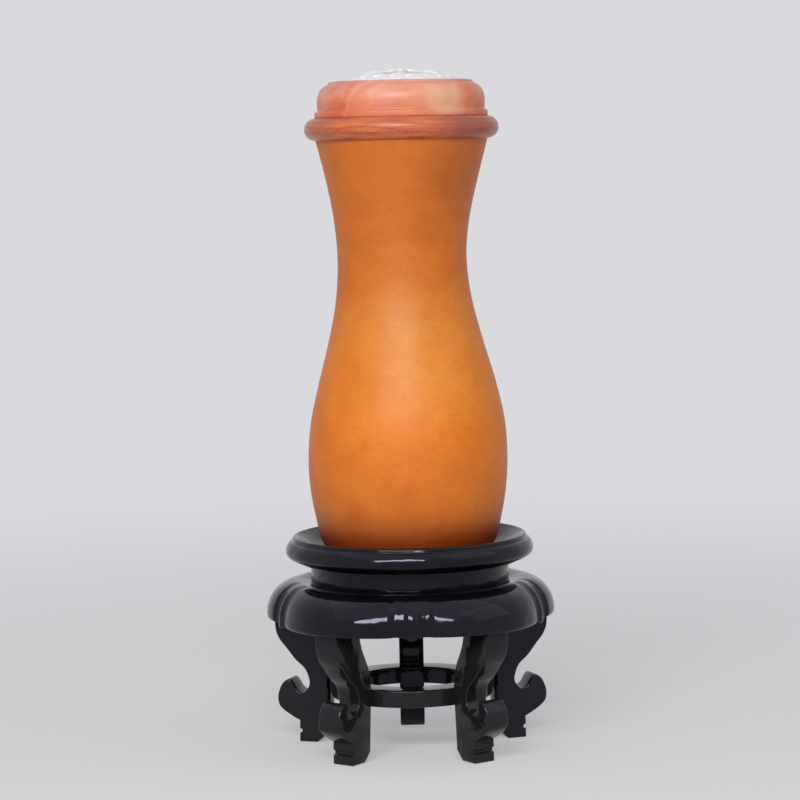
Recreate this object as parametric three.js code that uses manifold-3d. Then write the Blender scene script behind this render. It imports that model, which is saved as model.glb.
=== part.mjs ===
// A cricket gourd: a waisted gourd with a mouth ring and a lift-off lid, whose pierced dome lets
// the song out, resting in the dish of a five-legged lacquered stand.
// Millimetres, +Z up, the feet on z = 0. The part's origin is under the middle of its box.

import * as THREE from "three";
import { mergeVertices } from "three/addons/utils/BufferGeometryUtils.js";
import Module from "manifold-3d";

const wasm = await Module();
wasm.setup();

// Fits
const GAP = 0.3; // between glued or resting pieces that are not flat against each other
const STEPS = 56; // facets round a turned piece

// Stand: legs and the stretcher between them
const LOBES = 5; // lobes of the apron, each over a leg
const LEG_HEIGHT = 39.2;
const LEG_WIDTH = 16.9; // from the inner face to the outermost line
const LEG_THICKNESS = 7.6;
const LEG_EDGE = 0.35; // width of the broken edges
const TENON_THICKNESS = 4;
const TENON_SET = 7.3; // from the leg's inner face
const TENON_LENGTH = 6;
const TENON_HEIGHT = 5;
const STRETCHER_BOTTOM = 15.6;
const STRETCHER_DEPTH = 5.1;
const STRETCHER_RADIUS = 24.3;
const STRETCHER_WIDTH = 7.8;
const STRETCHER_EDGE = 0.5;
const TONGUE_LENGTH = 1.4; // from the ring to a leg's face
const TONGUE_WIDTH = 6;
const TIP_WIDTH = 4;
const TIP_HEIGHT = 2.6;
const TIP_LENGTH = 2.8; // the tip that goes into the leg

// Stand: apron, whose lobes are circles set off from the axis
const APRON_HEIGHT = 10.8;
const APRON_BORE = 25;
const LOBE_RADIUS = 28.9;
const LOBE_OFFSET = 15.6;
const SKIRT_HEIGHT = 1.3; // the widest line above the lower edge
const CROWN_HEIGHT = 0.8; // the crown above the waist's foot
const CUSP_DROP = 1;
const CUSP_SPREAD = 2.5; // degrees each side of a groove

// Stand: waist and tray
const WAIST_RADIUS = 29.8;
const WAIST_WALL = 3.8;
const WAIST_HEIGHT = 6.4;
const BOSS_DEPTH = 4.8;
const RIM_STEP = 2.9; // the rim's foot outside the waist
const RIM_SWELL = 4.55; // the rim's belly outside its foot
const RIM_HEIGHT = 8;
const DISH_SINK = 1; // the dish's floor below the waist's top

// Gourd
const BASE_CLEARANCE = 0.7; // under the middle of its base, which rests further out
const GOURD_HEIGHT = 126.4;
const GOURD_BELLY = 29.9;
const GOURD_WALL = 2.6;
const WANDERS = [
  { height: 94, spread: 18, sideways: -0.55 },
  { height: 52, spread: 18, sideways: 0.3 },
]; // a grown gourd is not quite straight: where its middle leaves the axis
const CLAY_DEPTH = 9.9; // the earth floor's edge above the gourd's lowest point
const CLAY_DISH = 1.6; // how much lower its middle is

// Mouth ring
const BEAD_RADIUS = 3.3;
const SPIGOT_LENGTH = 5;
const SPIGOT_WALL = 1.2;
const MOUTH_EDGE = 0.4;

// Lid
const LID_HEIGHT = 10.7;
const LID_OVERHANG = 0.15; // outside the gourd's cut edge
const PLUG_LENGTH = 5.5;
const PLUG_WALL = 3.3;
const PLUG_EDGE = 0.6;
const LIP_WIDTH = 1.9;
const SEAT_DEPTH = 2.5;

// Dome
const DOME_RISE = 3.7;
const DOME_REVEAL = 0.1; // the dome's edge above the lip
const DOME_THICKNESS = 2;
const DOME_STEPS = 48;
const HOLE_SIDES = 8;
const HOLE_RINGS = [
  { ring: 0, count: 1, radius: 1.5 },
  { ring: 5.4, count: 8, radius: 1.3 },
  { ring: 11, count: 16, radius: 1.4 },
];

// Colours and finishes
const LACQUER = { color: 0x100c0b, roughness: 0.15, metalness: 0 };
const GOURD_SKIN = { color: 0xb8622a, roughness: 0.42, metalness: 0 };
const DARK_WOOD = { color: 0x7a2c17, roughness: 0.35, metalness: 0 };
const PALE_WOOD = { color: 0xc98d78, roughness: 0.45, metalness: 0 };
const CARVED_WHITE = { color: 0xd9cdc8, roughness: 0.5, metalness: 0 };
const EARTH = { color: 0x9a8a72, roughness: 0.95, metalness: 0 };

const v = (r, z) => new THREE.Vector2(r, z);
const { degToRad, radToDeg } = THREE.MathUtils;

// An outline given in shares of a width and a height, counted from a corner
function shares(corner, width, height, list) {
  return list.map(([across, up]) => v(corner.x + across * width, corner.y + up * height));
}

// Points of an arc about (r, z), from one angle to another in degrees
function arc(r, z, radius, from, to, steps) {
  const points = [];
  for (let i = 0; i <= steps; i++) {
    const a = degToRad(from + ((to - from) * i) / steps);
    points.push(v(r + radius * Math.cos(a), z + radius * Math.sin(a)));
  }
  return points;
}

// A closed profile turned about the Z axis, listed anticlockwise with the radius to the right
function turned(profile, steps = STEPS) {
  const closed = profile[0].x > 0 ? [...profile, profile[0]] : profile;
  return new THREE.LatheGeometry(closed, steps).rotateX(Math.PI / 2);
}

// A box from its lower to its upper corner
function block(low, high) {
  const size = high.map((h, i) => h - low[i]);
  const middle = high.map((h, i) => (h + low[i]) / 2);
  return new THREE.BoxGeometry(...size).translate(...middle);
}

// A geometry as a solid that can be joined and cut, and back
function solid(geometry) {
  const bare = geometry.clone();
  bare.deleteAttribute("normal");
  bare.deleteAttribute("uv");
  const merged = mergeVertices(bare, 1e-4);
  return new wasm.Manifold(
    new wasm.Mesh({
      numProp: 3,
      vertProperties: merged.attributes.position.array,
      triVerts: new Uint32Array(merged.index.array),
    }),
  );
}

function geometryOf(body) {
  const mesh = body.getMesh();
  const geometry = new THREE.BufferGeometry();
  geometry.setAttribute("position", new THREE.BufferAttribute(mesh.vertProperties, 3));
  geometry.setIndex(new THREE.BufferAttribute(mesh.triVerts, 1));
  const flat = geometry.toNonIndexed();
  flat.computeVertexNormals();
  return flat;
}

// Azimuth of a lobe and of its leg: a groove faces the front, -Y, and angles run towards +X
function lobeAzimuth(index) {
  return (360 / LOBES) * (index + 0.5);
}

// A piece drawn along +X is turned to stand at an azimuth
function atAzimuth(geometry, azimuth) {
  return geometry.clone().rotateZ(degToRad(azimuth - 90));
}

const part = new THREE.Group();
part.name = "cricket_gourd";
const standing = new THREE.Group();
standing.name = "about_the_axis";
part.add(standing);

function place(name, geometry, finish) {
  const mesh = new THREE.Mesh(geometry, new THREE.MeshStandardMaterial(finish));
  mesh.name = name;
  standing.add(mesh);
}

// Legs: a plank sawn to an S, with an upturned hook outside and a stepped foot
const legInner = STRETCHER_RADIUS + TONGUE_LENGTH;
const sawn = (list) => shares(v(legInner, 0), LEG_WIDTH, LEG_HEIGHT, list);
const plank = new THREE.Shape();
const shoulderLine = [
  [0.29, 1],
  [1, 1],
];
const hookLine = [
  [0.988, 0.878],
  [0.917, 0.801],
  [0.775, 0.727],
  [0.621, 0.645],
  [0.462, 0.584],
  [0.385, 0.523],
  [0.361, 0.449],
  [0.485, 0.383],
  [0.609, 0.408],
  [0.698, 0.467],
  [0.775, 0.485],
  [0.888, 0.446],
  [0.964, 0.362],
  [0.947, 0.286],
  [0.84, 0.237],
  [0.663, 0.189],
  [0.556, 0.166],
];
const footLine = [
  [0.562, 0.105],
  [0.515, 0.094],
  [0.515, 0.077],
  [0.562, 0.066],
  [0.562, 0],
  [0.225, 0],
  [0.148, 0.031],
  [0.059, 0.077],
];
const innerLine = [
  [0.03, 0.306],
  [0, 0.561],
  [0.065, 0.707],
  [0.219, 0.842],
  [0.29, 0.936],
];
const [shoulderStart, shoulderEnd] = sawn(shoulderLine);
plank.moveTo(shoulderStart.x, shoulderStart.y);
plank.lineTo(shoulderEnd.x, shoulderEnd.y);
plank.splineThru(sawn(hookLine));
sawn(footLine).forEach((p) => plank.lineTo(p.x, p.y));
plank.splineThru(sawn(innerLine));
plank.closePath();
const plankBody = new THREE.ExtrudeGeometry(plank, {
  depth: LEG_THICKNESS - 2 * LEG_EDGE,
  curveSegments: 2,
  bevelThickness: LEG_EDGE,
  bevelSize: LEG_EDGE,
  bevelOffset: -LEG_EDGE,
  bevelSegments: 1,
})
  .translate(0, 0, LEG_EDGE - LEG_THICKNESS / 2)
  .rotateX(Math.PI / 2);
const tenonInner = legInner + TENON_SET;
const tenonOuter = tenonInner + TENON_LENGTH;
const tenon = block(
  [tenonInner, -TENON_THICKNESS / 2, LEG_HEIGHT - TENON_HEIGHT / 2],
  [tenonOuter, TENON_THICKNESS / 2, LEG_HEIGHT + TENON_HEIGHT],
);
const tipMiddle = STRETCHER_BOTTOM + STRETCHER_DEPTH / 2;
const tipSocket = block(
  [legInner - TIP_LENGTH, -TIP_WIDTH / 2 - GAP, tipMiddle - TIP_HEIGHT / 2 - GAP],
  [legInner + TIP_LENGTH + GAP, TIP_WIDTH / 2 + GAP, tipMiddle + TIP_HEIGHT / 2 + GAP],
);
const leg = geometryOf(solid(plankBody).add(solid(tenon)).subtract(solid(tipSocket)));
for (let index = 0; index < LOBES; index++) {
  place(`leg_${index + 1}`, atAzimuth(leg, lobeAzimuth(index)), LACQUER);
}

// Stretcher: a flat ring with a tongue let into each leg
const ringInner = STRETCHER_RADIUS - STRETCHER_WIDTH;
const ringTop = STRETCHER_BOTTOM + STRETCHER_DEPTH;
const flatRing = [
  v(ringInner + STRETCHER_EDGE, STRETCHER_BOTTOM),
  v(STRETCHER_RADIUS - STRETCHER_EDGE, STRETCHER_BOTTOM),
  v(STRETCHER_RADIUS, STRETCHER_BOTTOM + STRETCHER_EDGE),
  v(STRETCHER_RADIUS, ringTop - STRETCHER_EDGE),
  v(STRETCHER_RADIUS - STRETCHER_EDGE, ringTop),
  v(ringInner + STRETCHER_EDGE, ringTop),
  v(ringInner, ringTop - STRETCHER_EDGE),
  v(ringInner, STRETCHER_BOTTOM + STRETCHER_EDGE),
];
const tongueRoot = STRETCHER_RADIUS - STRETCHER_WIDTH / 2;
const tongue = solid(
  block(
    [tongueRoot, -TONGUE_WIDTH / 2, STRETCHER_BOTTOM + STRETCHER_EDGE],
    [legInner - GAP, TONGUE_WIDTH / 2, ringTop - STRETCHER_EDGE],
  ),
).add(
  solid(
    block(
      [tongueRoot, -TIP_WIDTH / 2, tipMiddle - TIP_HEIGHT / 2],
      [legInner + TIP_LENGTH, TIP_WIDTH / 2, tipMiddle + TIP_HEIGHT / 2],
    ),
  ),
);
let stretcher = solid(turned(flatRing));
for (let index = 0; index < LOBES; index++) {
  stretcher = stretcher.add(tongue.rotate([0, 0, lobeAzimuth(index) - 90]));
}
place("stretcher_ring", geometryOf(stretcher), LACQUER);

// Apron: the bulge of one section, stretched outwards to the lobes, with a cusp under each groove
const waistFoot = LEG_HEIGHT + APRON_HEIGHT;
const lobeTop = LOBE_OFFSET + LOBE_RADIUS;
const bulgeRadius = APRON_HEIGHT + CROWN_HEIGHT - SKIRT_HEIGHT;
const bulgeCentre = lobeTop - bulgeRadius;
const ledge = WAIST_RADIUS + GAP;
const BULGE_STEPS = 8;
const bulge = arc(
  bulgeCentre,
  LEG_HEIGHT + SKIRT_HEIGHT,
  bulgeRadius,
  radToDeg(Math.acos((ledge - bulgeCentre) / bulgeRadius)),
  0,
  BULGE_STEPS,
);
const SKIRT_TUCK = 0.5; // the lower edge inside the widest line
const SKIRT_LAND = 3; // where the cusp has run out under the apron
function lobeReach(degrees) {
  const across = LOBE_OFFSET * Math.sin(degToRad(degrees));
  return LOBE_OFFSET * Math.cos(degToRad(degrees)) + Math.sqrt(LOBE_RADIUS ** 2 - across ** 2);
}
function apronSection(offLobe) {
  const stretch = (lobeReach(offLobe) - ledge) / (lobeTop - ledge);
  const outwards = (r) => ledge + (r - ledge) * stretch;
  const fromGroove = 180 / LOBES - Math.abs(offLobe);
  const drop = CUSP_DROP * Math.exp(-((fromGroove / CUSP_SPREAD) ** 2));
  return [
    v(ledge, waistFoot),
    ...bulge.slice(1).map((p) => v(outwards(p.x), p.y)),
    v(outwards(lobeTop - SKIRT_TUCK), LEG_HEIGHT - drop),
    v(outwards(lobeTop - SKIRT_LAND), LEG_HEIGHT),
    v(APRON_BORE, LEG_HEIGHT),
    v(APRON_BORE, waistFoot),
  ];
}
const LOBE_COLUMNS = [-36, -34.5, -32.5, -29, -22, -15, -8, 0, 8, 15, 22, 29, 32.5, 34.5];
const columns = [];
for (let lobe = 0; lobe < LOBES; lobe++) {
  for (const offLobe of LOBE_COLUMNS) {
    columns.push({ azimuth: lobeAzimuth(lobe) + offLobe, points: apronSection(offLobe) });
  }
}

// A closed ring through sections that stand at their azimuths
function ringThrough(sections) {
  const across = sections[0].points.length;
  const positions = [];
  for (const { azimuth, points } of sections) {
    const a = degToRad(azimuth - 90);
    for (const p of points) {
      positions.push(p.x * Math.cos(a), p.x * Math.sin(a), p.y);
    }
  }
  const index = [];
  for (let i = 0; i < sections.length; i++) {
    const here = i * across;
    const there = ((i + 1) % sections.length) * across;
    for (let j = 0; j < across; j++) {
      const k = (j + 1) % across;
      index.push(here + j, there + k, there + j);
      index.push(here + j, here + k, there + k);
    }
  }
  const geometry = new THREE.BufferGeometry();
  geometry.setAttribute("position", new THREE.Float32BufferAttribute(positions, 3));
  geometry.setIndex(index);
  return geometry;
}
const mortise = block(
  [tenonInner - GAP, -TENON_THICKNESS / 2 - GAP, LEG_HEIGHT - TENON_HEIGHT],
  [tenonOuter + GAP, TENON_THICKNESS / 2 + GAP, LEG_HEIGHT + TENON_HEIGHT + GAP],
);
let apron = solid(ringThrough(columns));
for (let index = 0; index < LOBES; index++) {
  apron = apron.subtract(solid(atAzimuth(mortise, lobeAzimuth(index))));
}
place("apron_ring", geometryOf(apron), LACQUER);

// Waist: a plain band between the tray and the apron
const waistTop = waistFoot + WAIST_HEIGHT;
const waistBore = WAIST_RADIUS - WAIST_WALL;
const waist = [
  v(waistBore, waistFoot),
  v(WAIST_RADIUS, waistFoot),
  v(WAIST_RADIUS, waistTop),
  v(waistBore, waistTop),
];
place("waist_ring", turned(waist), LACQUER);

// Tray: a boss in the waist, a bellied rim, a raised lip and a dish that follows the gourd's base
const rimFoot = v(WAIST_RADIUS + RIM_STEP, waistTop);
const rim = shares(rimFoot, RIM_SWELL, RIM_HEIGHT, [
  [0, 0],
  [0.088, 0.056],
  [0.615, 0.156],
  [0.857, 0.262],
  [0.993, 0.413],
  [1, 0.55],
  [0.934, 0.675],
  [0.835, 0.769],
  [0.714, 0.825],
  [0.615, 0.838],
  [0.56, 0.863],
  [0.543, 0.925],
  [0.484, 0.981],
  [0.385, 1],
  [0.275, 0.975],
  [0.132, 0.913],
]);
const lip = rim[rim.length - 1];
const dishFloor = waistTop - DISH_SINK;
const DISH_STEPS = 9;
const dish = new THREE.SplineCurve(
  shares(v(0, dishFloor), lip.x, lip.y - dishFloor, [
    [0.943, 0.861],
    [0.859, 0.627],
    [0.721, 0.386],
    [0.571, 0.157],
    [0.36, 0.036],
    [0, 0],
  ]),
).getPoints(DISH_STEPS);
const bossRadius = waistBore - GAP;
const tray = [
  v(0, waistTop - BOSS_DEPTH),
  v(bossRadius, waistTop - BOSS_DEPTH),
  v(bossRadius, waistTop),
  ...rim,
  ...dish,
];
place("stand_tray", turned(tray), LACQUER);

// Gourd: the outside is one curve through the measured radii, the inside lies one wall behind it
const gourdBase = dishFloor + BASE_CLEARANCE;
const gourdMouth = gourdBase + GOURD_HEIGHT;
const skin = new THREE.SplineCurve(
  shares(v(0, gourdBase), GOURD_BELLY, GOURD_HEIGHT, [
    [0, 0],
    [0.234, 0],
    [0.468, 0.004],
    [0.669, 0.014],
    [0.803, 0.032],
    [0.88, 0.055],
    [0.933, 0.107],
    [0.98, 0.169],
    [1, 0.244],
    [0.973, 0.336],
    [0.883, 0.431],
    [0.773, 0.526],
    [0.682, 0.621],
    [0.645, 0.719],
    [0.676, 0.811],
    [0.756, 0.905],
    [0.858, 1],
  ]),
);
const SKIN_STEPS = 26;
const INSIDE_STEPS = 18;
const skinPoints = skin.getPoints(SKIN_STEPS);
const cutRadius = skinPoints[SKIN_STEPS].x;
function behindSkin(depth, steps) {
  const points = [];
  for (let i = 0; i <= steps; i++) {
    const p = skin.getPoint(i / steps);
    const along = skin.getTangent(i / steps);
    const r = i === 0 ? 0 : p.x - depth * along.y;
    const z = i === steps ? gourdMouth : p.y + depth * along.x;
    points.push(v(r, z));
  }
  return points;
}
const inside = behindSkin(GOURD_WALL, INSIDE_STEPS);
const shell = turned([...skinPoints, ...inside.reverse()]);
const shellAt = shell.getAttribute("position");
for (let i = 0; i < shellAt.count; i++) {
  for (const { height, spread, sideways } of WANDERS) {
    const away = (shellAt.getZ(i) - gourdBase - height) / spread;
    shellAt.setX(i, shellAt.getX(i) + sideways * Math.exp(-(away ** 2)));
  }
}
shell.computeVertexNormals();
place("gourd_shell", shell, GOURD_SKIN);

// Earth floor: follows the inside of the gourd up to its edge, and dips in the middle
const clayEdge = gourdBase + CLAY_DEPTH;
const bed = behindSkin(GOURD_WALL + GAP, INSIDE_STEPS).filter((p) => p.y < clayEdge);
const bedEdge = bed[bed.length - 1];
const clayTop = [1, 0.8, 0.5, 0].map((share) =>
  v((bedEdge.x - GAP) * share, bedEdge.y + GAP - CLAY_DISH * (1 - share ** 2)),
);
place("clay_floor", turned([...bed, ...clayTop]), EARTH);

// Mouth ring: a half-round bead on the cut edge, with a tapered spigot glued inside
const BEAD_STEPS = 9;
const FINE_STEPS = 200;
const glueLine = behindSkin(GOURD_WALL + GAP, FINE_STEPS);
const spigotFoot = gourdMouth - SPIGOT_LENGTH;
const spigotFootRadius = glueLine.find((p) => p.y > spigotFoot && p.x > 0).x;
const mouthBore = spigotFootRadius - SPIGOT_WALL;
const mouthTop = gourdMouth + 2 * BEAD_RADIUS;
const mouth = [
  v(mouthBore, spigotFoot),
  v(spigotFootRadius - GAP, spigotFoot),
  v(glueLine[FINE_STEPS].x - GAP, gourdMouth),
  ...arc(cutRadius, gourdMouth + BEAD_RADIUS, BEAD_RADIUS, -90, 90, BEAD_STEPS),
  v(mouthBore + MOUTH_EDGE, mouthTop),
  v(mouthBore, mouthTop - MOUTH_EDGE),
];
place("mouth_ring", turned(mouth), DARK_WOOD);

// Lid frame: a plug in the mouth, an arrised band, a bulged side and a seat for the dome
const plugRadius = mouthBore - GAP;
const lidBore = plugRadius - PLUG_WALL;
const plugBottom = mouthTop - PLUG_LENGTH;
const lidTop = mouthTop + LID_HEIGHT;
const lidSide = shares(v(0, mouthTop), cutRadius + LID_OVERHANG, LID_HEIGHT, [
  [0.992, 0],
  [1, 0.047],
  [0.99, 0.14],
  [0.979, 0.196],
  [0.971, 0.252],
  [0.977, 0.383],
  [0.969, 0.589],
  [0.946, 0.729],
  [0.907, 0.841],
  [0.849, 0.925],
  [0.81, 1],
]);
const seatRadius = lidSide[lidSide.length - 1].x - LIP_WIDTH;
const seat = lidTop - SEAT_DEPTH;
const lidFrame = [
  v(lidBore, plugBottom),
  v(plugRadius - PLUG_EDGE, plugBottom),
  v(plugRadius, plugBottom + PLUG_EDGE),
  v(plugRadius, mouthTop),
  ...lidSide,
  v(seatRadius, lidTop),
  v(seatRadius, seat),
  v(lidBore, seat),
];
place("lid_frame", turned(lidFrame), PALE_WOOD);

// Dome: a thin cap on the seat, pierced by rings of round holes
const domeTop = lidTop + DOME_RISE;
const domeRadius = seatRadius - GAP;
const capRise = DOME_RISE - DOME_REVEAL;
const capSphere = (domeRadius ** 2 + capRise ** 2) / (2 * capRise);
const CAP_STEPS = 6;
function capArc(sphere, reach) {
  const edge = radToDeg(Math.acos(reach / sphere));
  const points = arc(0, domeTop - capSphere, sphere, edge, 90, CAP_STEPS);
  points[CAP_STEPS].x = 0;
  return points;
}
const dome = [
  ...capArc(capSphere - DOME_THICKNESS, lidBore).reverse(),
  v(lidBore, seat),
  v(domeRadius, seat),
  ...capArc(capSphere, domeRadius),
];
let pierced = solid(turned(dome, DOME_STEPS));
for (const { ring, count, radius } of HOLE_RINGS) {
  const drill = new THREE.CylinderGeometry(radius, radius, 4 * DOME_THICKNESS, HOLE_SIDES)
    .rotateX(Math.PI / 2)
    .translate(ring, 0, domeTop - DOME_THICKNESS);
  for (let i = 0; i < count; i++) {
    pierced = pierced.subtract(solid(atAzimuth(drill, (360 * (i + 0.5)) / count)));
  }
}
place("pierced_dome", geometryOf(pierced), CARVED_WHITE);

// The axis stands a little in front of the middle of the box, because one leg points straight back
const box = new THREE.Box3().setFromObject(standing);
standing.position.y = -(box.min.y + box.max.y) / 2;

export default part;
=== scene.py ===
"""A cricket gourd on its five-legged lacquered stand, dressed for a studio picture.

The measured model is the frame. Each piece here is turned, sawn or carved again with
finer edges, stands where the frame has it, and rides on the frame's body.
"""

import math

import bmesh
import bpy
from mathutils import Matrix, Vector


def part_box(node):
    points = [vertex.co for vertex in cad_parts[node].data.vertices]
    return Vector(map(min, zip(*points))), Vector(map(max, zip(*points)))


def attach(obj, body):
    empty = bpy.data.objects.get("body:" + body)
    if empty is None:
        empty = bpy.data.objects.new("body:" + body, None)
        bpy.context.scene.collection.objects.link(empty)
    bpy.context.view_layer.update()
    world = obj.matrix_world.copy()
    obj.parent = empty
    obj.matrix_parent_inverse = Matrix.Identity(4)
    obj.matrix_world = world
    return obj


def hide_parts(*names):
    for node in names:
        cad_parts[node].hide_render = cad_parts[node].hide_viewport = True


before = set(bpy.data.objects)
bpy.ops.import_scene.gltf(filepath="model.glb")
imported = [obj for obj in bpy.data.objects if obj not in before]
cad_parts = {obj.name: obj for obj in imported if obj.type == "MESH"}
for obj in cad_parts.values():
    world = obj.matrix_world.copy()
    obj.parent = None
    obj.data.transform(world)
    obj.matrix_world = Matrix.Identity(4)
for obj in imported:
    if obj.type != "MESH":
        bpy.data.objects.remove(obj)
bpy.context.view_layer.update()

tray_low, tray_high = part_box("stand_tray")
AXIS = Vector(((tray_low.x + tray_high.x) / 2, (tray_low.y + tray_high.y) / 2, 0))
MM = 0.001

# The apron's lobes, and the leg under the middle of each, in degrees from the front
LOBES = 5
LEG_AZIMUTHS = [360 / LOBES * (index + 0.5) for index in range(LOBES)]

# Heights above the feet and radii from the axis, in millimetres
LEG_HEIGHT = 39.2
WAIST_FOOT = 50.0
WAIST_TOP = 56.4
WAIST_RADIUS = 29.8
DISH_FLOOR = 55.4
GOURD_BASE = 56.1
GOURD_HEIGHT = 126.4
GOURD_MOUTH = GOURD_BASE + GOURD_HEIGHT
GOURD_BELLY = 29.9
GOURD_WALL = 2.6
CUT_RADIUS = 25.65
BEAD_RADIUS = 3.3
MOUTH_TOP = GOURD_MOUTH + 2 * BEAD_RADIUS
MOUTH_BORE = 20.3
LID_HEIGHT = 10.7
LID_TOP = MOUTH_TOP + LID_HEIGHT
SEAT = LID_TOP - 2.5
SEAT_RADIUS = 19.0
LID_BORE = 16.7
DOME_TOP = LID_TOP + 3.64


# Outlines


def shares(corner, width, height, pairs):
    """An outline given in shares of a width and a height."""
    return [(corner[0] + a * width, corner[1] + u * height) for a, u in pairs]


def arc(r, z, radius, start, end, steps):
    """Points of an arc, from one angle to another in degrees."""
    line = []
    for i in range(steps + 1):
        a = math.radians(start + (end - start) * i / steps)
        line.append((r + radius * math.cos(a), z + radius * math.sin(a)))
    return line


def through(points, per):
    """A smooth line through the points, with that many steps between two of them."""
    line = []
    last = len(points) - 1
    for i in range(last):
        before = Vector(points[max(i - 1, 0)])
        here = Vector(points[i])
        there = Vector(points[i + 1])
        after = Vector(points[min(i + 2, last)])
        leave = (there - before) / 2
        arrive = (after - here) / 2
        for k in range(per):
            t = k / per
            line.append(
                (2 * t**3 - 3 * t**2 + 1) * here
                + (t**3 - 2 * t**2 + t) * leave
                + (3 * t**2 - 2 * t**3) * there
                + (t**3 - t**2) * arrive
            )
    line.append(Vector(points[-1]))
    return [(p.x, p.y) for p in line]


def eased(corners, steps=5):
    """A closed outline whose corners (r, z, radius) are rounded."""
    line = []
    count = len(corners)
    for i, (r, z, radius) in enumerate(corners):
        here = Vector((r, z))
        to_last = Vector(corners[i - 1][:2]) - here
        to_next = Vector(corners[(i + 1) % count][:2]) - here
        half = to_last.angle(to_next) / 2 if to_last.length and to_next.length else 0
        if radius <= 0 or half < 0.05 or half > 1.55:
            line.append((r, z))
            continue
        run = min(radius / math.tan(half), 0.48 * to_last.length, 0.48 * to_next.length)
        start = here + to_last.normalized() * run
        end = here + to_next.normalized() * run
        for k in range(steps + 1):
            t = k / steps
            p = (1 - t) ** 2 * start + 2 * t * (1 - t) * here + t**2 * end
            line.append((p.x, p.y))
    return line


# Making


def turned(line, steps=192, closed=True):
    """An outline turned about the axis."""
    bm = bmesh.new()
    verts = [bm.verts.new((r, 0, z)) for r, z in line]
    edges = [bm.edges.new(pair) for pair in zip(verts, verts[1:])]
    if closed and line[0][0] > 0.01:
        edges.append(bm.edges.new((verts[-1], verts[0])))
    bmesh.ops.spin(
        bm,
        geom=verts + edges,
        cent=(0, 0, 0),
        axis=(0, 0, 1),
        angle=math.tau,
        steps=steps,
        use_merge=True,
    )
    bmesh.ops.remove_doubles(bm, verts=bm.verts, dist=0.001)
    return bm


def round_edges(bm, edges, offset, segments):
    """Edges of a shape, rounded."""
    bmesh.ops.bevel(
        bm,
        geom=edges,
        offset=offset,
        offset_type="OFFSET",
        segments=segments,
        profile=0.5,
        affect="EDGES",
        material=-1,
    )


def plank(line, thickness, edge):
    """An outline in the radius and the height, sawn from a board, its edges eased."""
    bm = bmesh.new()
    face = bm.faces.new([bm.verts.new((r, -thickness / 2, z)) for r, z in line])
    grown = bmesh.ops.extrude_face_region(bm, geom=[face])["geom"]
    moved = [g for g in grown if isinstance(g, bmesh.types.BMVert)]
    bmesh.ops.translate(bm, verts=moved, vec=(0, thickness, 0))
    bmesh.ops.recalc_face_normals(bm, faces=bm.faces)
    rim = [e for e in bm.edges if abs(e.verts[0].co.y - e.verts[1].co.y) < 1e-6]
    round_edges(bm, rim, edge, segments=3)
    return bm


def bar(low, high, edge=0.3):
    """A small square bar between two opposite corners, with eased edges."""
    bm = bmesh.new()
    middle = (Vector(low) + Vector(high)) / 2
    size = Vector(high) - Vector(low)
    place = Matrix.Translation(middle) @ Matrix.Diagonal((*size, 1))
    bmesh.ops.create_cube(bm, size=1, matrix=place)
    round_edges(bm, bm.edges[:], edge, segments=2)
    return bm


def as_mesh(bm, name):
    """A made shape as a mesh."""
    mesh = bpy.data.meshes.new(name)
    bm.to_mesh(mesh)
    bm.free()
    return mesh


def in_scene(name, data):
    """A new object of the scene with this mesh, lamp or camera."""
    made = bpy.data.objects.new(name, data)
    bpy.context.scene.collection.objects.link(made)
    return made


def joined(*parts):
    """Several made shapes as one."""
    whole = bmesh.new()
    for bm in parts:
        mesh = as_mesh(bm, "part")
        whole.from_mesh(mesh)
        bpy.data.meshes.remove(mesh)
    return whole


def facing(azimuth):
    """Turns a piece made along +X to an azimuth counted from the front."""
    return Matrix.Rotation(math.radians(azimuth - 90), 4, "Z")


def set_up(bm, name, node, body, finish, crease=32):
    """The shape as a piece of the object, in metres on the frame's axis."""
    bmesh.ops.transform(
        bm, matrix=Matrix.Translation(AXIS) @ Matrix.Scale(MM, 4), verts=bm.verts
    )
    bmesh.ops.recalc_face_normals(bm, faces=bm.faces)
    mesh = as_mesh(bm, name)
    mesh.shade_smooth()
    mesh.set_sharp_from_angle(angle=math.radians(crease))
    mesh.materials.append(finish)
    piece = in_scene(name, mesh)
    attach(piece, body)
    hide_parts(node)
    return piece


# Finishes


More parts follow.
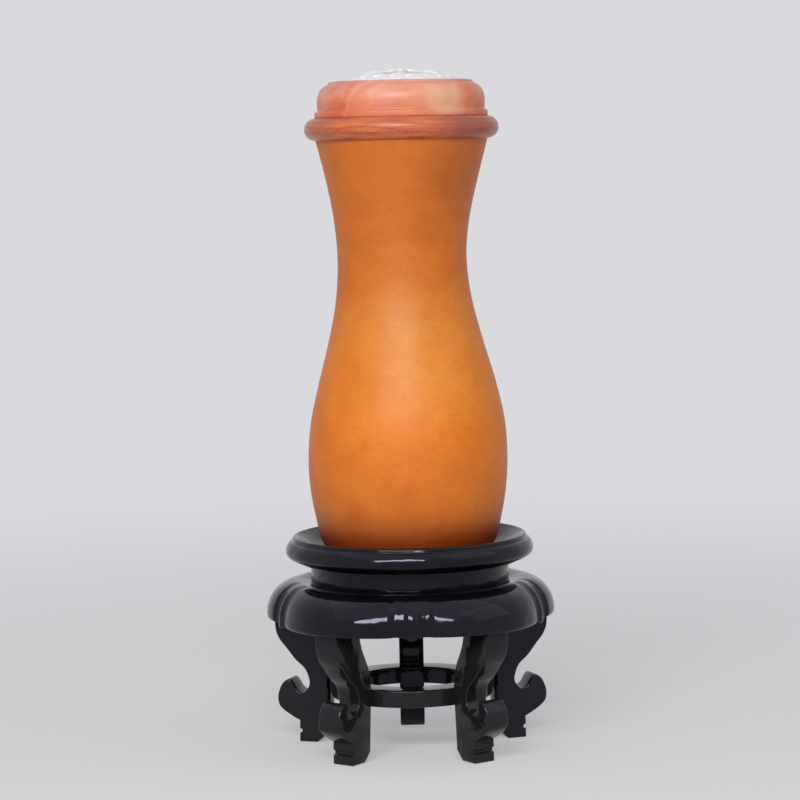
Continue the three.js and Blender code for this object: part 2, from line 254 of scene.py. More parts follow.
class Finish:
    """A material and short names for its nodes."""

    def __init__(self, name, roughness, **sockets):
        self.material = bpy.data.materials.new(name)
        self.material.use_nodes = True
        self.tree = self.material.node_tree
        self.skin = self.tree.nodes["Principled BSDF"]
        self.skin.inputs["Roughness"].default_value = roughness
        for socket, value in sockets.items():
            self.skin.inputs[socket.replace("_", " ")].default_value = value
        self.where = self.node("ShaderNodeTexCoord").outputs["Object"]

    def node(self, kind, **settings):
        made = self.tree.nodes.new(kind)
        for key, value in settings.items():
            setattr(made, key, value)
        return made

    def link(self, output, socket):
        self.tree.links.new(output, socket)

    def placed(self, scale=(1, 1, 1), turn=(0, 0, 0), middle=(0, 0, 0)):
        """Object coordinates from the axis, or from a middle set out from it in mm."""
        to_axis = self.node("ShaderNodeMapping")
        to_axis.inputs["Location"].default_value = -AXIS - Vector(middle) * MM
        self.link(self.where, to_axis.inputs["Vector"])
        mapping = self.node("ShaderNodeMapping")
        mapping.inputs["Scale"].default_value = scale
        mapping.inputs["Rotation"].default_value = turn
        self.link(to_axis.outputs["Vector"], mapping.inputs["Vector"])
        return mapping.outputs["Vector"]

    def noise(self, where, scale, detail=3, roughness=0.5, distortion=0):
        made = self.node("ShaderNodeTexNoise")
        made.inputs["Scale"].default_value = scale
        made.inputs["Detail"].default_value = detail
        made.inputs["Roughness"].default_value = roughness
        made.inputs["Distortion"].default_value = distortion
        self.link(where, made.inputs["Vector"])
        return made.outputs["Fac"]

    def ramp(self, value, stops):
        """Colours or greys at places along a value from 0 to 1."""
        made = self.node("ShaderNodeValToRGB")
        band = made.color_ramp
        band.elements[0].position = stops[0][0]
        band.elements[1].position = stops[-1][0]
        for place, _ in stops[1:-1]:
            band.elements.new(place)
        for element, (_, colour) in zip(band.elements, stops):
            if isinstance(colour, (int, float)):
                colour = (colour,) * 3
            element.color = (*colour, 1)
        self.link(value, made.inputs["Fac"])
        return made.outputs["Color"]

    def between(self, value, low, high, to_low=0, to_high=1):
        """A value taken smoothly from one range to another, and held at its ends."""
        made = self.node("ShaderNodeMapRange", clamp=True)
        made.interpolation_type = "SMOOTHSTEP"
        made.inputs["From Min"].default_value = low
        made.inputs["From Max"].default_value = high
        made.inputs["To Min"].default_value = to_low
        made.inputs["To Max"].default_value = to_high
        self.link(value, made.inputs["Value"])
        return made.outputs["Result"]

    def mix(self, share, first, second, blend="MIX"):
        made = self.node("ShaderNodeMix", data_type="RGBA", blend_type=blend)
        for value, socket in ((share, 0), (first, 6), (second, 7)):
            if isinstance(value, bpy.types.NodeSocket):
                self.link(value, made.inputs[socket])
            elif socket:
                made.inputs[socket].default_value = (*value, 1)
            else:
                made.inputs[socket].default_value = value
        return made.outputs[2]

    def maths(self, kind, first, second):
        made = self.node("ShaderNodeMath", operation=kind)
        for value, socket in ((first, 0), (second, 1)):
            if isinstance(value, bpy.types.NodeSocket):
                self.link(value, made.inputs[socket])
            else:
                made.inputs[socket].default_value = value
        return made.outputs[0]

    def stain_and_highlight(self, ground, place, share, colour):
        """The ground with a share of another colour at a place, used for stains and for
        painted highlights.
        """
        return self.mix(self.maths("MULTIPLY", place, share), ground, colour)

    def tint(self, ground, place, by):
        """The ground multiplied by a colour at a place."""
        return self.mix(place, ground, by, "MULTIPLY")

    def spot(self, azimuth, radius, z, near, far):
        """1 round a place on the surface, 0 beyond it, with a cloudy edge."""
        a = math.radians(azimuth)
        away = self.node("ShaderNodeVectorMath", operation="DISTANCE")
        self.link(self.placed(), away.inputs[0])
        away.inputs[1].default_value = (
            radius * math.sin(a) * MM,
            -radius * math.cos(a) * MM,
            z * MM,
        )
        rough = self.noise(self.placed(), 160, detail=3)
        ragged = self.maths("MULTIPLY", rough, near * MM)
        reach = self.maths("ADD", away.outputs["Value"], ragged)
        return self.between(reach, near * MM, far * MM, 1, 0)

    def height(self):
        """Height above the feet in metres."""
        split = self.node("ShaderNodeSeparateXYZ")
        self.link(self.where, split.inputs["Vector"])
        return split.outputs["Z"]

    def above(self, low, high):
        """0 up to a height in millimetres, rising to 1 at a higher one."""
        return self.between(self.height(), low * MM, high * MM)

    def below(self, low, high):
        """1 up to a height in millimetres, falling to 0 at a higher one."""
        return self.between(self.height(), low * MM, high * MM, 1, 0)

    def band(self, low, high, soft):
        """1 between two heights in millimetres, 0 outside."""
        rises = self.above(low - soft, low + soft)
        falls = self.below(high - soft, high + soft)
        return self.maths("MULTIPLY", rises, falls)

    def colour(self, output):
        self.link(output, self.skin.inputs["Base Color"])

    def roughness(self, output):
        self.link(output, self.skin.inputs["Roughness"])

    def relief(self, output, distance):
        """Fine unevenness, with its depth in millimetres."""
        made = self.node("ShaderNodeBump")
        made.inputs["Strength"].default_value = 1.0
        made.inputs["Distance"].default_value = distance * MM
        self.link(output, made.inputs["Height"])
        self.link(made.outputs["Normal"], self.skin.inputs["Normal"])


def gourd_skin():
    """Handled gourd: amber with soft clouds, fine flecks and a satin sheen, with
    painted shade low down and on the neck, a painted shadow at the tray, and painted
    sheen on the belly.
    """
    f = Finish(
        "gourd_skin",
        0.5,
        Coat_Weight=0.12,
        Coat_Roughness=0.36,
        Specular_IOR_Level=0.30,
    )
    slant = f.placed(scale=(1, 1, 1.5), turn=(0, 0.4, 0))
    clouds = f.noise(slant, 55, detail=5, roughness=0.55, distortion=0.4)
    amber = f.ramp(
        clouds,
        [
            (0.28, (0.70, 0.172, 0.009)),
            (0.5, (0.76, 0.200, 0.014)),
            (0.72, (0.79, 0.225, 0.022)),
        ],
    )
    mottle = f.noise(f.placed(scale=(1, 1, 2.0)), 260, detail=5, roughness=0.7)
    shade = f.ramp(mottle, [(0.3, 0.94), (0.5, 1.0), (0.7, 1.05)])
    amber = f.tint(amber, 1.0, shade)
    fibres = f.noise(f.placed(scale=(1, 1, 3)), 900, detail=3, roughness=0.6)
    amber = f.tint(amber, 1.0, f.ramp(fibres, [(0.3, 0.92), (0.7, 1.06)]))
    specks = f.noise(f.placed(scale=(1, 1, 1.8)), 1300, detail=2)
    flecks = f.ramp(specks, [(0.6, 0.0), (0.7, 1.0)])
    amber = f.stain_and_highlight(amber, flecks, 0.14, (0.42, 0.095, 0.008))
    blotches = f.noise(f.placed(scale=(1, 1, 0.8)), 95, detail=3)
    bruise = f.ramp(blotches, [(0.62, 0.0), (0.76, 1.0)])
    amber = f.stain_and_highlight(amber, bruise, 0.12, (0.48, 0.11, 0.015))
    # painted shade: darker and deeper orange towards the foot
    amber = f.tint(amber, f.below(60, 100), (0.76, 0.68, 0.42))
    # painted shadow where the gourd sits down in the tray
    amber = f.tint(amber, f.below(62.5, 75.5), (0.47, 0.34, 1.3))
    # painted shade: darker from the shoulder up to the mouth
    amber = f.tint(amber, f.above(115, 150), (0.80, 0.755, 0.90))
    # Darker and paler places: azimuth, radius, height, full and faded reach, and tint;
    # among them painted shade and painted sheen, marked below
    for *place, tint in (
        # painted shade on the right side of the neck
        (42, 22, 172, 7, 22, (0.80, 0.77, 0.95)),
        # two small darker patches
        (20, 20, 156, 3, 9, (0.90, 0.88, 1.0)),
        (-32, 27, 74, 3, 8, (0.90, 0.82, 0.8)),
        # painted sheen: paler and bluer on the belly's right side and front, and the
        # hot spot of the front light's sheen
        (34, 24, 120, 12, 42, (1.0, 1.12, 1.5)),
        (-6, 22, 122, 8, 34, (0.97, 1.09, 1.4)),
        (2, 21, 128, 2, 12, (1.0, 1.10, 1.3)),
    ):
        amber = f.tint(amber, f.spot(*place), tint)
    f.colour(amber)
    f.roughness(f.between(mottle, 0.3, 0.7, 0.46, 0.56))
    f.relief(f.noise(f.placed(scale=(1, 1, 1.6)), 520, detail=4, roughness=0.6), 0.05)
    return f.material


def mouth_wood():
    """Dark red-brown wood with fine grain round the ring and a dotted dark vein."""
    f = Finish(
        "mouth_wood",
        0.34,
        Specular_IOR_Level=0.35,
        Coat_Weight=0.1,
        Coat_Roughness=0.25,
    )
    grain = f.noise(f.placed(scale=(1, 1, 14)), 75, detail=6, roughness=0.7)
    wood = f.ramp(
        grain,
        [
            (0.3, (0.36, 0.062, 0.022)),
            (0.5, (0.58, 0.14, 0.048)),
            (0.7, (0.70, 0.24, 0.10)),
        ],
    )
    pores = f.noise(f.placed(scale=(1, 1, 0.8)), 2600, detail=1)
    dots = f.ramp(pores, [(0.42, 1.0), (0.54, 0.0)])
    vein = f.maths("MULTIPLY", f.band(184.2, 185.2, 0.5), dots)
    wood = f.stain_and_highlight(wood, vein, 0.55, (0.22, 0.03, 0.014))
    patch = f.noise(f.placed(scale=(1, 1, 2)), 38, detail=3)
    bloom = f.ramp(patch, [(0.48, 0.0), (0.68, 1.0)])
    wood = f.stain_and_highlight(wood, bloom, 0.5, (0.36, 0.11, 0.085))
    wood = f.stain_and_highlight(wood, f.spot(52, 28, 186, 6, 22), 0.6, (0.24, 0.06, 0.045))
    wood = f.stain_and_highlight(wood, f.spot(-58, 28, 187, 4, 12), 0.35, (0.30, 0.09, 0.07))
    f.colour(wood)
    f.relief(grain, 0.04)
    return f.material


def lid_wood():
    """Pale salmon wood with clouds, arcs of grain, a pink painted highlight and a cream
    patch.
    """
    f = Finish(
        "lid_wood",
        0.38,
        Specular_IOR_Level=0.34,
        Coat_Weight=0.06,
        Coat_Roughness=0.28,
    )
    figure = f.noise(
        f.placed(scale=(1.0, 1.0, 0.8), turn=(0.3, 0.4, 0)),
        34,
        detail=3,
        roughness=0.5,
        distortion=0.9,
    )
    wood = f.ramp(
        figure,
        [
            (0.30, (0.72, 0.20, 0.105)),
            (0.42, (0.77, 0.265, 0.155)),
            (0.47, (0.80, 0.35, 0.24)),
            (0.53, (0.76, 0.25, 0.15)),
            (0.59, (0.78, 0.30, 0.19)),
            (0.63, (0.80, 0.35, 0.22)),
            (0.74, (0.74, 0.30, 0.18)),
        ],
    )
    rings = f.node("ShaderNodeTexWave", wave_type="RINGS", rings_direction="Y")
    rings.inputs["Scale"].default_value = 30
    rings.inputs["Distortion"].default_value = 3.5
    rings.inputs["Detail"].default_value = 2
    rings.inputs["Detail Scale"].default_value = 1.4
    f.link(f.placed(scale=(0.8, 0.3, 1), middle=(9, 0, 190)), rings.inputs["Vector"])
    arcs = f.ramp(
        rings.outputs["Fac"],
        [(0.15, (0.97, 0.90, 0.88)), (0.85, (1.02, 1.12, 1.14))],
    )
    wood = f.tint(wood, 1.0, arcs)
    hairs = f.noise(f.placed(scale=(1, 1, 9)), 140, detail=5, roughness=0.7)
    wood = f.tint(wood, 1.0, f.ramp(hairs, [(0.35, 0.90), (0.6, 1.03)]))
    # a painted highlight: a pale pink patch where the front light catches the lid's
    # upper side
    pink_highlight = f.spot(-9, 25, 194.5, 2.5, 8)
    wood = f.stain_and_highlight(wood, pink_highlight, 0.4, (0.76, 0.38, 0.34))
    wood = f.tint(wood, f.below(190.5, 197.5), (0.93, 0.66, 0.54))
    cream = f.spot(34, 24.5, 194, 5, 12)
    wood = f.stain_and_highlight(wood, cream, 0.7, (0.74, 0.42, 0.27))
    f.colour(wood)
    f.relief(hairs, 0.02)
    return f.material


def carved_white():
    """The carved dome: polished white, clouded with a pinkish grey, finely uneven."""
    f = Finish("carved_white", 0.3, Specular_IOR_Level=0.6)
    patches = f.noise(f.placed(), 520, detail=4, roughness=0.6)
    pale = f.ramp(
        patches,
        [
            (0.32, (0.84, 0.79, 0.82)),
            (0.5, (0.95, 0.92, 0.94)),
            (0.68, (0.98, 0.97, 0.98)),
        ],
    )
    f.colour(pale)
    f.relief(f.noise(f.placed(), 750, detail=3), 0.25)
    return f.material


def black_lacquer():
    """Black lacquer, glossy, with the soft unevenness of brushed coats, and painted
    light: lighter and warmer on the legs and stretcher below the apron.
    """
    f = Finish(
        "black_lacquer",
        0.1,
        Specular_IOR_Level=0.27,
        Specular_Tint=(0.80, 0.80, 1.0, 1.0),
    )
    cloud = f.noise(f.placed(), 60, detail=4)
    black = f.ramp(
        cloud,
        [(0.3, (0.002, 0.002, 0.0035)), (0.7, (0.006, 0.0055, 0.008))],
    )
    # painted light: the lacquer lighter and warmer on the legs and stretcher below the
    # apron
    f.colour(f.mix(f.below(34, 42), black, (0.014, 0.0125, 0.0125)))
    brushed = f.noise(f.placed(scale=(1, 1, 3)), 260, detail=4, roughness=0.6)
    f.roughness(f.between(brushed, 0.3, 0.75, 0.07, 0.13))
    uneven = f.noise(f.placed(scale=(1, 1, 1.4)), 120, detail=2)
    f.relief(uneven, 0.3)
    return f.material


def tamped_earth():
    """Clay, lime and sand, tamped flat."""
    f = Finish("tamped_earth", 0.93)
    grit = f.noise(f.placed(), 900, detail=5, roughness=0.7)
    f.colour(f.ramp(grit, [(0.3, (0.26, 0.19, 0.12)), (0.7, (0.50, 0.41, 0.29))]))
    f.relief(grit, 0.3)
    return f.material


GOURD = gourd_skin()
MOUTH_WOOD = mouth_wood()
LID_WOOD = lid_wood()
CARVED = carved_white()
LACQUER = black_lacquer()
EARTH = tamped_earth()


# Legs: outlines in shares of the leg's width and height, and a tenon for the apron

LEG_INNER = 25.7
LEG_WIDTH = 16.9
LEG_THICKNESS = 7.6
LEG_EDGE = 0.45
TENON = ((33, -2, LEG_HEIGHT - 2), (39, 2, LEG_HEIGHT + 5))
hook = shares(
    (LEG_INNER, 0),
    LEG_WIDTH,
    LEG_HEIGHT,
    [
        (1, 0.998),
        (0.988, 0.878),
        (0.917, 0.801),
        (0.775, 0.727),
        (0.621, 0.645),
        (0.462, 0.584),
        (0.385, 0.523),
        (0.361, 0.449),
        (0.485, 0.383),
        (0.609, 0.408),
        (0.698, 0.467),
        (0.775, 0.485),
        (0.888, 0.446),
        (0.964, 0.362),
        (0.947, 0.286),
        (0.84, 0.237),
        (0.663, 0.189),
        (0.556, 0.166),
    ],
)
foot = shares(
    (LEG_INNER, 0),
    LEG_WIDTH,
    LEG_HEIGHT,
    [
        (0.562, 0.105),
        (0.515, 0.094),
        (0.515, 0.077),
        (0.562, 0.066),
        (0.562, 0),
        (0.225, 0),
        (0.148, 0.031),
        (0.059, 0.077),
    ],
)
inner = shares(
    (LEG_INNER, 0),
    LEG_WIDTH,
    LEG_HEIGHT,
    [
        (0.059, 0.077),
        (0.03, 0.306),
        (0, 0.561),
        (0.065, 0.707),
        (0.219, 0.842),
        (0.29, 0.936),
        (0.29, 0.998),
    ],
)
leg_line = through(hook, 5) + foot[:-1] + through(inner, 5)
for number, azimuth in enumerate(LEG_AZIMUTHS, 1):
    leg = joined(plank(leg_line, LEG_THICKNESS, LEG_EDGE), bar(*TENON))
    bmesh.ops.transform(leg, matrix=facing(azimuth), verts=leg.verts)
    node = f"leg_{number}"
    set_up(leg, f"sawn_{node}", node, "stand", LACQUER, 40)

# Stretcher: a ring with a stepped tongue to each leg

RING_BORE = 16.5
RING_RADIUS = 24.3
RING_FOOT = 15.6
RING_TOP = 20.7
RING_EDGE = 0.6
SHOULDER = ((21, -3, 16.0), (25.5, 3, 20.3), 0.4)
TONGUE = ((22, -2, 16.85), (28.5, 2, 19.45))
ring = turned(
    eased(
        [
            (RING_BORE, RING_FOOT, RING_EDGE),
            (RING_RADIUS, RING_FOOT, RING_EDGE),
            (RING_RADIUS, RING_TOP, RING_EDGE),
            (RING_BORE, RING_TOP, RING_EDGE),
        ]
    )
)
tongues = []
for azimuth in LEG_AZIMUTHS:
    tongue = joined(bar(*SHOULDER), bar(*TONGUE))
    bmesh.ops.transform(tongue, matrix=facing(azimuth), verts=tongue.verts)
    tongues.append(tongue)
set_up(
    joined(ring, *tongues),
    "stretcher",
    "stretcher_ring",
    "stand",
    LACQUER,
)

# Apron: one section turned, then drawn out to five lobes with grooves and small cusps

LOBE_RADIUS = 28.76
LOBE_OFFSET = 15.6
LOBE_TOP = LOBE_OFFSET + LOBE_RADIUS
BULGE = 10.3
BULGE_HEIGHT = LEG_HEIGHT + 1.3
LEDGE = WAIST_RADIUS + 0.3
APRON_BORE = 25.0
LIP = 0.65
GROOVE_SOFTNESS = 0.35
GROOVE_RADIUS = 41
CUSP_WIDTH = 2.6
CUSP_DROP = 0.95
CUSP_REACH = 2.5
CUSP_EASE = 1.5
APRON_STEPS = 900
# A groove with its bead: distance along the apron from the groove's middle, and radius
GROOVE_LINE = through(
    [
        (0, 41.25),
        (0.75, 41.16),
        (1.5, 40.88),
        (2.25, 40.62),
        (3.0, 40.5),
        (3.75, 40.48),
        (4.5, 40.48),
        (5.1, 40.56),
        (5.7, 40.92),
        (6.2, 41.38),
        (6.7, 41.85),
    ],
    6,
)


def lobe_reach(degrees):
    """Radius of the apron's widest line at an angle off a lobe's middle."""
    reach = 0
    for turn in (0, 360 / LOBES, -360 / LOBES):
        off = math.radians(degrees - turn)
        across = LOBE_OFFSET * math.sin(off)
        out = LOBE_OFFSET * math.cos(off) + math.sqrt(LOBE_RADIUS**2 - across**2)
        reach += math.exp((out - LOBE_TOP) / GROOVE_SOFTNESS)
    reach = LOBE_TOP + GROOVE_SOFTNESS * math.log(reach)
    across = math.radians(180 / LOBES - abs(degrees)) * GROOVE_RADIUS
    for (near, low), (far, high) in zip(GROOVE_LINE, GROOVE_LINE[1:]):
        if near <= across < far:
            return low + (high - low) * (across - near) / (far - near)
    return reach


start = math.degrees(math.acos((LEDGE - LOBE_TOP + BULGE) / BULGE))
section = (
    [(LEDGE, WAIST_FOOT)]
    + arc(LOBE_TOP - BULGE, BULGE_HEIGHT, BULGE, start, -3, 26)[1:]
    + arc(LOBE_TOP - 0.8, LEG_HEIGHT + LIP, LIP, -15, -90, 5)
    + [(LOBE_TOP - 2, LEG_HEIGHT), (LOBE_TOP - 4, LEG_HEIGHT), (34, LEG_HEIGHT)]
    + [(APRON_BORE, LEG_HEIGHT), (APRON_BORE, WAIST_FOOT)]
)
apron = turned(section, APRON_STEPS)
for vert in apron.verts:
    out = math.hypot(vert.co.x, vert.co.y)
    if out <= LEDGE + 0.001:
        continue
    azimuth = math.degrees(math.atan2(vert.co.x, -vert.co.y)) % (360 / LOBES)
    off = azimuth - 180 / LOBES
    stretch = (lobe_reach(off) - LEDGE) / (LOBE_TOP - LEDGE)
    scale = (LEDGE + (out - LEDGE) * stretch) / out
    vert.co.x *= scale
    vert.co.y *= scale
    if vert.co.z < BULGE_HEIGHT and out > LOBE_TOP - CUSP_REACH:
        groove = (180 / LOBES - abs(off)) / CUSP_WIDTH
        rise = min(1, (out - LOBE_TOP + CUSP_REACH) / CUSP_EASE)
        vert.co.z -= CUSP_DROP * math.exp(-(groove**2)) * rise
set_up(apron, "lobed_apron", "apron_ring", "stand", LACQUER, 40)

# Waist and tray

WAIST_BORE = 26.0
WAIST_EDGE = 0.3
waist = turned(
    eased(
        [
            (WAIST_BORE, WAIST_FOOT, 0),
            (WAIST_RADIUS, WAIST_FOOT, WAIST_EDGE),
            (WAIST_RADIUS, WAIST_TOP, WAIST_EDGE),
            (WAIST_BORE, WAIST_TOP, 0),
        ]
    )
)
set_up(waist, "waist_band", "waist_ring", "stand", LACQUER)

rim = [
    (32.8, 56.45),
    (33.1, 56.85),
    (34.2, 57.2),
    (35.5, 57.6),
    (36.6, 58.3),
    (37.2, 59.3),
    (37.27, 60.3),
    (36.98, 61.4),
    (36.5, 62.25),
    (35.95, 62.8),
    (35.55, 62.95),
    (35.33, 63.15),
    (35.23, 63.5),
    (35.1, 63.9),
    (34.85, 64.22),
    (34.45, 64.36),
    (33.95, 64.2),
    (33.3, 63.75),
    (32.4, 63.2),
]
dish = [(31.4, 62.55), (28.6, 60.6), (24.0, 58.6), (19.0, 56.7), (12.0, 55.7)]
BOSS_RADIUS = 25.7
BOSS_FOOT = 51.6
BOSS_EDGE = 0.3
tray_line = (
    [(0, BOSS_FOOT), (BOSS_RADIUS - BOSS_EDGE, BOSS_FOOT)]
    + [(BOSS_RADIUS, BOSS_FOOT + BOSS_EDGE), (BOSS_RADIUS, WAIST_TOP)]
    + [(32.6, WAIST_TOP)]
    + through(rim + dish + [(0.0, DISH_FLOOR)], 5)
)
tray = turned(tray_line)
set_up(tray, "turned_tray", "stand_tray", "stand", LACQUER, 50)

# Gourd: outline in shares of the belly's radius and the height

skin = through(
    shares(
        (0, GOURD_BASE),
        GOURD_BELLY,
        GOURD_HEIGHT,
        [
            (0, 0),
            (0.234, 0),
            (0.468, 0.004),
            (0.669, 0.014),
            (0.803, 0.032),
            (0.88, 0.055),
            (0.933, 0.107),
            (0.98, 0.169),
            (1, 0.244),
            (0.973, 0.336),
            (0.883, 0.431),
            (0.773, 0.526),
            (0.682, 0.621),
            (0.645, 0.719),
            (0.676, 0.811),
            (0.756, 0.905),
            (0.858, 1),
        ],
    ),
    6,
)


def behind(line, depth):
    """The line moved inwards by a depth, with its ends on the axis and at the mouth."""
    moved = []
    for i, (r, z) in enumerate(line):
        last = line[max(i - 1, 0)]
        following = line[min(i + 1, len(line) - 1)]
        along = (Vector(following) - Vector(last)).normalized()
        moved.append((max(r - depth * along.y, 0), z + depth * along.x))
    moved[0] = (0, moved[0][1])
    moved[-1] = (moved[-1][0], GOURD_MOUTH)
    return moved


inside = behind(skin, GOURD_WALL)
gourd = turned(skin + inside[::-2], closed=False)
# Where the gourd grew a little to one side: how far, and how high above its base
LEANS = ((-0.55, 94), (0.3, 52))
LEAN_SPREAD = 18
for vert in gourd.verts:
    level = vert.co.z - GOURD_BASE
    for lean, middle in LEANS:
        vert.co.x += lean * math.exp(-(((level - middle) / LEAN_SPREAD) ** 2))
set_up(gourd, "gourd", "gourd_shell", "gourd", GOURD, 50)

EARTH_GAP = 0.3
EARTH_DEPTH = 9.5
EARTH_HOLLOW = 1.6
bed = [
    p for p in behind(skin, GOURD_WALL + EARTH_GAP) if p[1] < GOURD_BASE + EARTH_DEPTH
]
edge_r, edge_z = bed[-1]
crown = [
    ((edge_r - 0.4) * s, edge_z + 0.3 - EARTH_HOLLOW * (1 - s**2))
    for s in (1, 0.9, 0.7, 0.4, 0.2)
]
earth = turned(bed + crown + [(0, edge_z + 0.3 - EARTH_HOLLOW)], 96)
set_up(earth, "earth_floor", "clay_floor", "gourd", EARTH)

# Mouth ring

SPIGOT_FOOT = 177.5
ring_line = (
    [(MOUTH_BORE + 0.05, SPIGOT_FOOT + 0.1), (21.2, SPIGOT_FOOT), (22.3, GOURD_MOUTH)]
    + arc(CUT_RADIUS, GOURD_MOUTH + BEAD_RADIUS, BEAD_RADIUS, -90, 90, 28)
    + arc(MOUTH_BORE + 0.5, MOUTH_TOP - 0.5, 0.5, 90, 180, 5)
)
set_up(turned(ring_line), "mouth_bead", "mouth_ring", "gourd", MOUTH_WOOD)

# Lid: its side in shares of the rim's radius and the lid's height

side = shares(
    (0, MOUTH_TOP),
    CUT_RADIUS + 0.15,
    LID_HEIGHT,
    [
        (0.990, 0.0),
        (0.998, 0.012),
        (1.0, 0.05),
        (1.0, 0.125),
        (0.996, 0.158),
        (0.986, 0.174),
        (0.974, 0.180),
        (0.966, 0.198),
        (0.964, 0.24),
        (0.967, 0.31),
        (0.969, 0.40),
        (0.968, 0.50),
        (0.961, 0.60),
        (0.941, 0.73),
        (0.904, 0.845),
        (0.866, 0.905),
        (0.848, 0.925),
        (0.838, 0.945),
        (0.829, 0.985),
        (0.815, 1.0),
        (0.79, 1.0),
    ],
)
PLUG = MOUTH_BORE - 0.35
PLUG_FOOT = 183.6
lid_line = (
    [(LID_BORE, PLUG_FOOT + 0.3), (LID_BORE + 0.3, PLUG_FOOT)]
    + [(PLUG - 0.5, PLUG_FOOT), (PLUG, PLUG_FOOT + 0.6), (PLUG, MOUTH_TOP)]
    + through(side, 3)
    + [(SEAT_RADIUS + 0.2, LID_TOP), (SEAT_RADIUS, LID_TOP - 0.2)]
    + [(SEAT_RADIUS, SEAT), (LID_BORE, SEAT)]
)
set_up(turned(lid_line), "turned_lid", "lid_frame", "lid", LID_WOOD, 38)

# Dome: a cap pierced by two rows of lotus petals and an outer row of small drops

CAP_RISE = 3.55
CAP_EDGE = SEAT_RADIUS - 0.35
CAP_SPHERE = (CAP_EDGE**2 + CAP_RISE**2) / (2 * CAP_RISE)
CAP_THICKNESS = 1.6
CAP_BORDER = 0.5
CAP_SINK = 0.12
COLUMNS = 80
PETALS = 10
PETAL_TURN = 18
DROPS = 20
# Radius of each ring of the net, and how far the petals push it out and in
CAP_RINGS = [
    (1.0, 0),
    (2.1, 0),
    (3.0, 0),
    (4.4, 0),
    (5.8, 0.5),
    (7.0, 0.9),
    (8.0, 0.9),
    (9.6, 0.3),
    (11.2, -0.4),
    (12.6, -0.9),
    (13.5, -0.7),
    (14.6, 0),
    (16.3, 0),
    (17.2, 0),
    (CAP_EDGE, 0),
]
cap = turned([(r, 0) for r, _ in [(0, 0)] + CAP_RINGS], COLUMNS, closed=False)
waves = {round(r, 3): wave for r, wave in CAP_RINGS}


def cells(inner_edge, outer_edge, count, wide, offset):
    """The cap's faces between two rings, in groups of columns."""
    groups = []
    per = COLUMNS // count
    for k in range(count):
        wanted = {(k * per + offset + j) % COLUMNS for j in range(wide)}
        group = []
        for face in cap.faces:
            middle = face.calc_center_median()
            column = int(math.atan2(middle.y, middle.x) % math.tau / math.tau * COLUMNS)
            if inner_edge < middle.xy.length < outer_edge and column in wanted:
                group.append(face)
        groups.append(group)
    return groups


# Rows of openings: inner and outer radius, how many, columns wide and first column
ROWS = (
    (3.0, 7.0, PETALS, 6, 1),
    (8.0, 12.6, PETALS, 6, 5),
    (14.6, 16.3, DROPS, 2, 1),
)
openings = [group for row in ROWS for group in cells(*row)]
for vert in cap.verts:
    r = vert.co.xy.length
    if r > 0.01:
        turn = math.atan2(vert.co.y, vert.co.x) - math.radians(PETAL_TURN)
        wave = waves[round(r, 3)] * math.cos(PETALS * turn)
        vert.co.x *= (r + wave) / r
        vert.co.y *= (r + wave) / r
    drop = CAP_SPHERE - math.sqrt(CAP_SPHERE**2 - vert.co.xy.length_squared)
    vert.co.z = DOME_TOP - drop
cut = []
for group in openings:
    bmesh.ops.inset_region(
        cap,
        faces=group,
        thickness=CAP_BORDER,
        depth=-CAP_SINK,
        use_even_offset=True,
        use_boundary=True,
    )
    cut += group
bmesh.ops.delete(cap, geom=cut, context="FACES")
bmesh.ops.recalc_face_normals(cap, faces=cap.faces)
dome = set_up(cap, "carved_dome", "pierced_dome", "lid", CARVED, 180)
thick = dome.modifiers.new("thickness", "SOLIDIFY")
thick.thickness = CAP_THICKNESS * MM
thick.offset = -1
soft = dome.modifiers.new("rounding", "SUBSURF")
soft.levels = 2
soft.render_levels = 2


# Stage, light and camera

BACKDROP = (0.70, 0.70, 0.73)
FLOOR_RADIUS = 9
FLOOR_DROP = 0.2 * MM
SHADOW_FULL = 50 * MM
SHADOW_END = 700 * MM
LEAST_BACKDROP = 0.5
AIMED_AT = 100 * MM


def fresh_tree(owner):
    """The empty nodes of a material or a world."""
    owner.use_nodes = True
    owner.node_tree.nodes.clear()
    return owner.node_tree


def layered(tree, light, backdrop, share=None):
    """Light for the object, and the pale backdrop for camera, gloss and glass."""
    rays = tree.nodes.new("ShaderNodeLightPath")
    seen = rays.outputs["Is Camera Ray"]
    for kind in ("Is Glossy Ray", "Is Transmission Ray"):
        either = tree.nodes.new("ShaderNodeMath")
        either.operation = "MAXIMUM"
        tree.links.new(seen, either.inputs[0])
        tree.links.new(rays.outputs[kind], either.inputs[1])
        seen = either.outputs[0]
    if share:
        part = tree.nodes.new("ShaderNodeMath")
        part.operation = "MULTIPLY"
        tree.links.new(seen, part.inputs[0])
        tree.links.new(share, part.inputs[1])
        seen = part.outputs[0]
    mix = tree.nodes.new("ShaderNodeMixShader")
    tree.links.new(seen, mix.inputs["Fac"])
    tree.links.new(light.outputs[0], mix.inputs[1])
    tree.links.new(backdrop.outputs[0], mix.inputs[2])
    return mix.outputs[0]


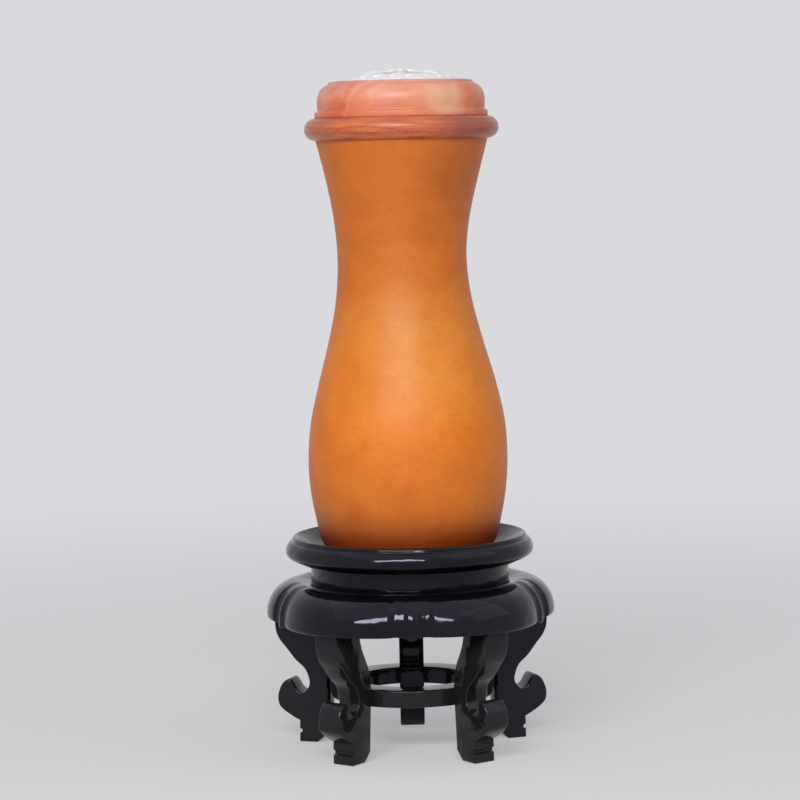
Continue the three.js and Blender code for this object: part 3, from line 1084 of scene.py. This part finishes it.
def stage_floor():
    """A pale floor that keeps the object's shadow and fades to the backdrop."""
    bm = bmesh.new()
    bmesh.ops.create_circle(bm, cap_ends=True, segments=96, radius=FLOOR_RADIUS)
    mesh = as_mesh(bm, "floor")
    ground = in_scene("floor", mesh)
    ground.location.z = -FLOOR_DROP
    material = bpy.data.materials.new("pale_floor")
    tree = fresh_tree(material)
    out = tree.nodes.new("ShaderNodeOutputMaterial")
    matt = tree.nodes.new("ShaderNodeBsdfDiffuse")
    matt.inputs["Color"].default_value = (0.84, 0.84, 0.84, 1)
    glow = tree.nodes.new("ShaderNodeEmission")
    glow.inputs["Color"].default_value = (*BACKDROP, 1)
    where = tree.nodes.new("ShaderNodeTexCoord")
    far = tree.nodes.new("ShaderNodeVectorMath")
    far.operation = "LENGTH"
    fade = tree.nodes.new("ShaderNodeMapRange")
    fade.interpolation_type = "SMOOTHSTEP"
    fade.inputs["From Min"].default_value = SHADOW_FULL
    fade.inputs["From Max"].default_value = SHADOW_END
    fade.inputs["To Min"].default_value = LEAST_BACKDROP
    tree.links.new(where.outputs["Object"], far.inputs[0])
    tree.links.new(far.outputs["Value"], fade.inputs["Value"])
    shader = layered(tree, matt, glow, fade.outputs["Result"])
    tree.links.new(shader, out.inputs["Surface"])
    mesh.materials.append(material)


def world_light(strength):
    """Soft light all round, and the pale backdrop for camera, gloss and glass."""
    world = bpy.data.worlds.new("studio")
    bpy.context.scene.world = world
    tree = fresh_tree(world)
    out = tree.nodes.new("ShaderNodeOutputWorld")
    soft_light = tree.nodes.new("ShaderNodeBackground")
    soft_light.inputs["Color"].default_value = (0.95, 0.94, 0.93, 1)
    soft_light.inputs["Strength"].default_value = strength
    backdrop = tree.nodes.new("ShaderNodeBackground")
    backdrop.inputs["Color"].default_value = (*BACKDROP, 1)
    tree.links.new(layered(tree, soft_light, backdrop), out.inputs["Surface"])


def softbox(name, azimuth, elevation, distance, width, height, watts, colour):
    """A panel of light that faces the middle of the object."""
    lamp = bpy.data.lights.new(name, "AREA")
    lamp.shape = "RECTANGLE"
    lamp.size = width
    lamp.size_y = height
    lamp.energy = watts
    lamp.color = colour
    holder = in_scene(name, lamp)
    a = math.radians(azimuth)
    e = math.radians(elevation)
    away = Vector((math.sin(a) * math.cos(e), -math.cos(a) * math.cos(e), math.sin(e)))
    holder.location = Vector((0, 0, AIMED_AT)) + away * distance
    holder.rotation_euler = away.to_track_quat("Z", "Y").to_euler()


stage_floor()
world_light(0.145)
# Azimuth, elevation, distance, width, height, watts and colour of each panel
softbox("front_panel", -10, 28, 1.3, 0.95, 0.17, 12.5, (1.0, 0.98, 0.97))
softbox("right_panel", 68, 38, 1.5, 1.3, 0.9, 2.1, (0.90, 0.93, 1.0))
softbox("top_panel", -20, 76, 1.6, 2.6, 2.6, 8.0, (0.92, 0.92, 1.0))

# The camera of the photograph, set out from the stand's axis
CAMERA_BACK = 861 * MM
CAMERA_SIDE = -1.99 * MM
CAMERA_HEIGHT = 177.1 * MM
DOWNWARDS = 4.81
ROLL = -1.14
LENS = 129.6
SENSOR = 36
camera = bpy.data.cameras.new("camera")
camera.lens = LENS
camera.sensor_width = SENSOR
viewer = in_scene("camera", camera)
viewer.location = (AXIS.x + CAMERA_SIDE, AXIS.y - CAMERA_BACK, CAMERA_HEIGHT)
level = Matrix.Rotation(math.radians(90 - DOWNWARDS), 3, "X")
viewer.rotation_euler = (level @ Matrix.Rotation(math.radians(ROLL), 3, "Z")).to_euler()
bpy.context.scene.camera = viewer
bpy.context.scene.view_settings.view_transform = "Standard"
